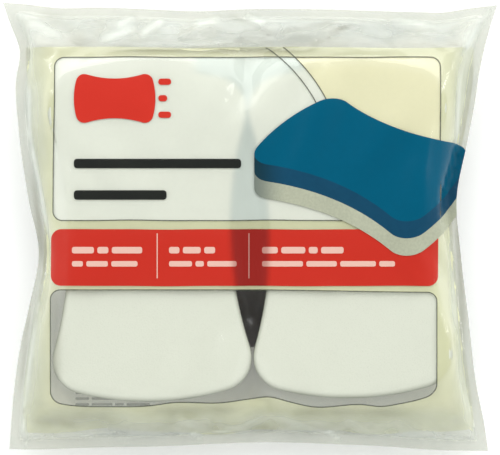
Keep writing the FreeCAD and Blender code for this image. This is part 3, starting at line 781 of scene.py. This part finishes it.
def weld_strip(name, rows_kept, cols_kept):
    """One side of the welded flange, between the two webs."""
    part = webs.mean(0)[rows_kept, cols_kept]
    n, m = part.shape[:2]
    index = np.arange(n * m).reshape(n, m)
    quads = np.stack([index[:-1, :-1], index[:-1, 1:], index[1:, 1:], index[1:, :-1]], -1).reshape(-1, 4)
    return mesh_piece(name, part.reshape(-1, 3), quads, WELD)


in_side = int(np.sum(flat_u[0] < -FLAT_U + SIDE_SEAL + 0.2))
in_end = int(np.sum(flat_v[:, 0] < -FLAT_V + END_SEAL + 0.2))
everywhere = slice(None)
welds = {
    "bottom_end_seal": weld_strip("bottom_weld", slice(0, in_end), everywhere),
    "top_end_seal": weld_strip("top_weld", slice(rows - in_end, rows), everywhere),
    "left_side_seal": weld_strip("left_weld", slice(in_end - 1, rows - in_end + 1), slice(0, in_side)),
    "right_side_seal": weld_strip("right_weld", slice(in_end - 1, rows - in_end + 1),
                                  slice(cols - in_side, cols)),
}

# ---------------------------------------------------------------- the print on the front web
PAGE_LEFT = [(-78.4, -87.6), (-59, -86.6), (-35, -83.0), (-18, -79.6), (0, -79.0), (14, -80.0), (26, -82.8),
             (56, -85.6), (69, -86.0)]
PAGE_RIGHT = [(-78.4, 86.0), (-71, 85.6), (-47, 82.2), (-23, 79.6), (-4, 77.6), (11, 77.4), (38, 82.6),
              (56, 85.4), (69, 86.0)]
PAGE_TOP, PAGE_BOTTOM = 68.9, -78.4
WINDOW_FOOT = [(-76.3, -66.6), (-70, -67.8), (-53, -68.5), (-38, -68.1), (-30, -67.0), (-11, -67.0),
               (0, -65.6), (7.6, -64.8), (15, -66.6), (23, -68.4), (43, -67.7), (50, -68.4), (57, -67.4),
               (65, -65.6), (71.4, -63.4)]
UPPER = (-74.8, 72.9, 2.5, 65.2)
BAND = (-76.0, 71.8, -22.3, -0.7)
WINDOW = (-76.3, 71.4, -66.6, -23.7)
CORNER = 3.9
TEXT_LEFT = -67.2
# The band's short bars: left end of each column, then the lengths in its two rows, whose heights follow.
BAND_WORDS = {-67.9: ((8.4, 4.2, 11.6), (4.2, 8.2, 10.0)),
              -30.9: ((4.0, 6.8, 4.2), (8.8, 3.2, 11.2)),
              4.6: ((6.0, 9.2, 3.4, 8.6), (15.6, 11.6, 13.6, 6.0))}
BAND_ROWS = ((-9.9, -7.4), (-14.9, -12.8))
RULE_W = 0.42
CURVE_CENTRE, CURVE_RADII = np.array([-28.0, 19.0]), (60.4, 64.4)
# The drawn eraser in perspective: its middle, then what its half width and its half length add to that.
DRAWN_ACROSS, DRAWN_UP, DRAWN_DEPTH = (44.38, 17.67, 30.31), (28.47, 15.56, -13.66), (1, 0.089, -0.035)
GRIP_DROP, PAD_DROP = 6.5, 6.6        # how deep the drawn eraser's two layers are


def grown(loop, grow):
    """A closed anticlockwise line moved outwards."""
    ahead, behind = np.roll(loop, -1, 0), np.roll(loop, 1, 0)
    along = ahead - behind
    along /= np.hypot(*along.T)[:, None] + 1e-9
    return loop + np.stack([along[:, 1], -along[:, 0]], 1) * grow


def wavering(loop, size, seed):
    """A printed line is never quite straight on film: moves it a little, smoothly."""
    x, y = loop.T
    up = np.sin(x / 9.0 + seed) + 0.5 * np.sin(x / 4.1)
    return loop + size * np.stack([np.sin(y / 7.0 + seed) * 0.6, up], 1)


def page_loop():
    ys = np.linspace(PAGE_BOTTOM, PAGE_TOP, 90)
    xs_top = np.linspace(86.0, -86.0, 110)[1:-1]
    xs_low = np.linspace(-87.6, 86.0, 110)[1:-1]
    foot = PAGE_BOTTOM + 0.9 * np.sin(xs_low / 11.0) + 0.5 * np.sin(xs_low / 4.7 + 1)
    return np.concatenate([
        np.stack([smooth_line(PAGE_RIGHT, ys), ys], 1),
        np.stack([xs_top, PAGE_TOP + 0.25 * np.sin(xs_top / 13.0)], 1),
        np.stack([smooth_line(PAGE_LEFT, ys[::-1]), ys[::-1]], 1),
        np.stack([xs_low, foot], 1),
    ])


def window_loop():
    loop = bar_loop(*WINDOW, CORNER)
    foot = smooth_line(WINDOW_FOOT, loop[:, 0])
    share = np.clip((loop[:, 1] - WINDOW[3]) / (WINDOW[2] - WINDOW[3]), 0, 1)
    tilt = -0.9 * smooth_step(0, 71, loop[:, 0])
    return np.stack([loop[:, 0], WINDOW[3] + tilt * (1 - share) + (foot - WINDOW[3]) * share], 1)


def upper_loop():
    loop = wavering(bar_loop(*UPPER, CORNER), 0.10, 0.5)
    loop[:, 0] -= 0.7 * smooth_step(60, 0, loop[:, 1]) * (loop[:, 0] < -60)
    return loop


def split_panel(loop):
    """The upper panel on each side of the outer curve."""
    reach = np.hypot(*(loop - CURVE_CENTRE).T)
    beyond = (reach > CURVE_RADII[1]) & (loop[:, 0] > 0)
    start = int(np.argmax(beyond & ~np.roll(beyond, 1)))
    turned_loop = np.roll(loop, -start, 0)
    count = int(beyond.sum())
    right, left = turned_loop[:count], turned_loop[count:]
    first = math.atan2(*(right[0] - CURVE_CENTRE)[::-1])
    last = math.atan2(*(right[-1] - CURVE_CENTRE)[::-1])
    a = np.linspace(first, last, 80)[1:-1]
    curve = CURVE_CENTRE + CURVE_RADII[1] * np.stack([np.cos(a), np.sin(a)], 1)
    return np.concatenate([left, curve]), np.concatenate([right, curve[::-1]])


def curve_strip(radius, clip_low):
    """A thin strip along a curve, from the print's top down to the picture."""
    top = math.asin((PAGE_TOP - CURVE_CENTRE[1]) / radius)
    low = math.asin((clip_low - CURVE_CENTRE[1]) / radius)
    a = np.linspace(low, top, 60)
    ring = np.stack([np.cos(a), np.sin(a)], 1)
    return np.concatenate([CURVE_CENTRE + ring * (radius + RULE_W / 2),
                           CURVE_CENTRE + ring[::-1] * (radius - RULE_W / 2)])


def picture_outline():
    """An eraser drawn from a raised corner, in perspective."""
    loop = hourglass(2.0)
    s, t = loop[:, 0] / (WIDTH / 2), loop[:, 1] / (LENGTH / 2)
    across, up, depth = (k[0] + k[1] * s + k[2] * t for k in (DRAWN_ACROSS, DRAWN_UP, DRAWN_DEPTH))
    return anticlockwise(np.stack([across / depth, up / depth], 1))


def lower_chain(loop):
    """The lower edge of a closed anticlockwise line, from its left end to its right end."""
    start, end = int(np.argmin(loop[:, 0])), int(np.argmax(loop[:, 0]))
    line = np.roll(loop, -start, 0)
    return line[:(end - start) % len(loop) + 1]


def drop_side(chain, drop):
    low = chain + np.array([0.0, -drop])
    sides = [np.linspace(chain[-1], low[-1], 6)[1:-1], np.linspace(low[0], chain[0], 6)[1:-1]]
    return np.concatenate([low, sides[0][::-1], chain[::-1], sides[1][::-1]])


def anticlockwise(loop):
    a, b = loop[:, 0], loop[:, 1]
    return loop if np.sum(a * np.roll(b, -1) - b * np.roll(a, -1)) > 0 else loop[::-1]


def mark_loops():
    """A plain sign: an eraser lying on its side with three strokes behind it."""
    scale = 0.245
    body = hourglass(2.6)[:, ::-1] * scale * np.array([-1.0, 1.0])
    left, low = TEXT_LEFT, 39.9
    high = WIDTH * scale
    loops = [anticlockwise(body + np.array([left + LENGTH * scale / 2, low + high / 2]))]
    start = left + LENGTH * scale + 1.1
    for row, length in enumerate((4.9, 3.4, 4.9)):
        y = low + 1.9 + row * 6.3
        loops.append(bar_loop(start, start + length, y, y + 2.4, 1.1, 0.5))
    return loops


def word_bars(left, low, high, lengths, space=1.3):
    loops = []
    for length in lengths:
        loops.append(bar_loop(left, left + length, low, high, (high - low) * 0.33, 0.6))
        left += length + space
    return loops


page, upper, window = page_loop(), upper_loop(), window_loop()
band = wavering(bar_loop(*BAND, CORNER), 0.08, 2.0)
white_part, yellow_part = split_panel(upper)
drawn = picture_outline()
edge_line = lower_chain(drawn)
second_line = edge_line + np.array([0.0, -GRIP_DROP])
grip_side, pad_side = drop_side(edge_line, GRIP_DROP), drop_side(second_line, PAD_DROP)
band_words = [bar for left, lengths in BAND_WORDS.items() for row, sizes in zip(BAND_ROWS, lengths)
              for bar in word_bars(left, *row, sizes)]
# How far inside the front web each layer of ink lies, or outside it where the number is below 0.
UNDER, MIDDLE, OVER, TOPMOST = 0.17, -0.10, -0.16, -0.28
prints = {
    "print_border_cream": laid_piece("ink_border", [page, upper, band, window], UNDER, CREAM),
    "print_panel_white": laid_piece("ink_panel", [white_part], UNDER, WHITE),
    "print_panel_yellow": laid_piece("ink_corner", [yellow_part], UNDER, YELLOW),
    "print_band_red": laid_piece("ink_band", [band], MIDDLE, RED),
    "print_rule_lower": laid_piece("ink_rule_lower", [grown(window, 0.1), grown(window, 0.1 - RULE_W)],
                                   OVER, RULE),
    "print_rule_upper": laid_piece("ink_rule_upper", [upper, grown(upper, -RULE_W)], OVER, RULE),
    "print_swoosh_rules": laid_piece("ink_curves", [curve_strip(r, 47.5) for r in CURVE_RADII], OVER, RULE),
    "print_mark": laid_piece("ink_mark", mark_loops(), OVER, MARK_RED),
    "print_title_bars": laid_piece("ink_title", [bar_loop(TEXT_LEFT, -3.4, 22.6, 26.2, 1.2),
                                                 bar_loop(TEXT_LEFT, -31.8, 10.6, 14.2, 1.2)], OVER, DARK),
    "print_band_bars": laid_piece("ink_band_bars", band_words, OVER, PALE),
    "print_band_dividers": laid_piece("ink_band_dividers", [
        bar_loop(x, x + 0.4, -19.4, -2.2, 0.1, 0.6) for x in (-35.6, -0.6)], OVER, PALE),
    "print_picture_grip_top": laid_piece("picture_grip_top", [drawn], TOPMOST, BLUE),
    "print_picture_grip_side": laid_piece("picture_grip_side", [anticlockwise(grip_side)], TOPMOST,
                                          BLUE_SIDE),
    "print_picture_pad_side": laid_piece("picture_pad_side", [anticlockwise(pad_side)], TOPMOST, GREY_SIDE),
}


def back_print(name, loops, material):
    """A plain shape on the inner side of the back web."""
    piece = laid_piece(name, loops, 0.0, material, 4.0)
    for vertex in piece.data.vertices:
        x, y = vertex.co.x / MM, vertex.co.y / MM
        place, *_ = BACK_TREE.ray_cast(Vector((x, y, ABOVE_ALL)), Vector((0, 0, -1)))
        vertex.co.z = ((place.z if place else 0.2) + 0.1) * MM
    return piece


# A sheet on the back web behind the gap between the erasers; its colour sets how dark the gap looks.
low, high = box_mm("print_back_panel")
prints["print_back_panel"] = back_print("back_panel", [bar_loop(low[0], high[0], low[1], high[1], 5.0, 3.0)],
                                        BACK_GAP_SHEET)
back_rows = [word_bars(TEXT_LEFT, -68.6 + step, -67.6 + step, (5.2, 8.0, 3.4, 9.0), 1.0)
             for step in (0.0, 2.2, 4.4)]
prints["print_back_bars"] = back_print("back_bars", [loop for row in back_rows for loop in row], BACK_TEXT)


# ---------------------------------------------------------------- the erasers
def foam_block(name, side, low, high, round_low, round_high, material):
    """One foam layer: an hourglass with softened rims, its faces very slightly uneven."""
    loop = turned(hourglass(1.6), LEAN, CENTRES[side])
    n = len(loop)
    rings = []
    angles = np.radians([0, 22.5, 45, 67.5, 90])
    if round_low:
        rings += [(low + RIM_R * (1 - math.cos(a)), RIM_R * (math.sin(a) - 1)) for a in angles]
    else:
        rings.append((low, 0.0))
    rings += [(low + (high - low) * share, 0.0) for share in (0.35, 0.65)]
    if round_high:
        rings += [(high - RIM_R * (1 - math.cos(a)), RIM_R * (math.sin(a) - 1)) for a in angles[::-1]]
    else:
        rings.append((high, 0.0))
    points, faces = [], []
    for z, grow in rings:
        ring = grown(loop, grow)
        points.append(np.column_stack([ring, np.full(n, z)]))
    points = np.concatenate(points)
    for r in range(len(rings) - 1):
        for i in range(n):
            j = (i + 1) % n
            faces.append((r * n + i, r * n + j, (r + 1) * n + j, (r + 1) * n + i))
    for ring_no, flip in ((0, True), (len(rings) - 1, False)):
        ring = points[ring_no * n:(ring_no + 1) * n]
        z = ring[0, 2]
        xs = np.arange(ring[:, 0].min() + 1.5, ring[:, 0].max(), 3.0)
        ys = np.arange(ring[:, 1].min() + 1.5, ring[:, 1].max(), 3.0)
        grid = np.stack(np.meshgrid(xs, ys), -1).reshape(-1, 2)
        grid = grid[edge_distance(grid, ring[:, :2]) < -1.2]
        flat = np.concatenate([ring[:, :2], grid])
        border = [(i, (i + 1) % n) for i in range(n)]
        made = delaunay_2d_cdt([Vector(p) for p in flat], border, [], 1, 1e-6)
        start = len(points)
        dent = 0.07 * np.sin(grid[:, 0] / 5.3 + ring_no) * np.sin(grid[:, 1] / 6.1) - 0.08
        points = np.concatenate([points, np.column_stack([grid, z + dent * (-1 if flip else 1)])])
        for face in made[2]:
            ids = [ring_no * n + i if i < n else start + i - n for i in face]
            faces.append(ids[::-1] if flip else ids)
    piece = mesh_piece(name, points, faces, material)
    return piece


for side in ("left", "right"):
    layers = {
        f"{side}_grip_foam": foam_block(f"{side}_grip", side, GRIP_LOW, GRIP_HIGH, True, False, GRIP_FOAM),
        f"{side}_erasing_pad": foam_block(f"{side}_pad", side, PAD_LOW, PAD_HIGH, False, True, MELAMINE),
    }
    for node, piece in layers.items():
        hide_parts(node)
        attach(piece, f"{side}_eraser")
    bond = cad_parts[f"{side}_bond_layer"]
    bond.data.materials.clear()
    bond.data.materials.append(BOND)

for node, piece in {"front_film": front, "back_film": back, **welds, **prints}.items():
    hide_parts(node)
    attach(piece, "bag")


# ---------------------------------------------------------------- floor, light and camera, in metres
VIEW_HEIGHT, VIEW_WIDTH, PRINT_HEIGHT = 2.5, 0.1908, 0.026
FLOOR_DROP = 0.0005
SHADE_FREE = 0.26                     # the floor's own light, which keeps it white beside the bag


def build_floor():
    mesh = bpy.data.meshes.new("floor")
    mesh.from_pydata([(-3, -3, 0), (3, -3, 0), (3, 3, 0), (-3, 3, 0)], [], [(0, 1, 2, 3)])
    floor = bpy.data.objects.new("floor", mesh)
    bpy.context.scene.collection.objects.link(floor)
    floor.location.z = -FLOOR_DROP
    made, _, base = new_material("pale_floor")
    base.inputs["Base Color"].default_value = (0.9, 0.9, 0.9, 1)
    base.inputs["Roughness"].default_value = 0.9
    base.inputs["Specular IOR Level"].default_value = 0.0
    base.inputs["Emission Color"].default_value = (1, 1, 1, 1)
    base.inputs["Emission Strength"].default_value = SHADE_FREE
    mesh.materials.append(made)


def soft_light(name, place, target, size, power):
    data = bpy.data.lights.new(name, "AREA")
    data.shape = "RECTANGLE"
    data.size, data.size_y = size
    data.energy = power
    lamp = bpy.data.objects.new(name, data)
    lamp.location = place
    lamp.rotation_euler = (Vector(target) - Vector(place)).to_track_quat("-Z", "Y").to_euler()
    bpy.context.scene.collection.objects.link(lamp)


def set_stage():
    build_floor()
    world = bpy.data.worlds.new("studio")
    world.use_nodes = True
    tree = world.node_tree
    way = add(tree, "ShaderNodeTexCoord")
    parts = add(tree, "ShaderNodeSeparateXYZ")
    tree.links.new(way.outputs["Generated"], parts.inputs[0])
    ceiling = map_range(tree, parts.outputs["Z"], 0.66, 0.95, 1.0, 0.16)
    sky = tree.nodes["Background"]
    tree.links.new(ceiling, sky.inputs[1])
    sky.inputs[0].default_value = (0.90, 0.93, 0.90, 1)
    bpy.context.scene.world = world
    soft_light("window_light", (0.1, 1.3, 1.2), (0, 0, 0), (2.6, 1.5), 22.5)
    soft_light("left_strip", (-1.1, 0.3, 0.9), (0, 0, 0), (0.08, 1.2), 2.6)
    soft_light("right_strip", (1.1, 0.3, 0.9), (0, 0, 0), (0.08, 1.2), 2.6)
    camera = bpy.data.cameras.new("camera")
    camera.sensor_width, camera.clip_end = 36.0, 20.0
    camera.lens = camera.sensor_width * (VIEW_HEIGHT - PRINT_HEIGHT) / VIEW_WIDTH
    eye = bpy.data.objects.new("camera", camera)
    eye.location = (0, 0, VIEW_HEIGHT)
    bpy.context.scene.collection.objects.link(eye)
    bpy.context.scene.camera = eye
    bpy.context.scene.view_settings.view_transform = "Standard"


set_stage()
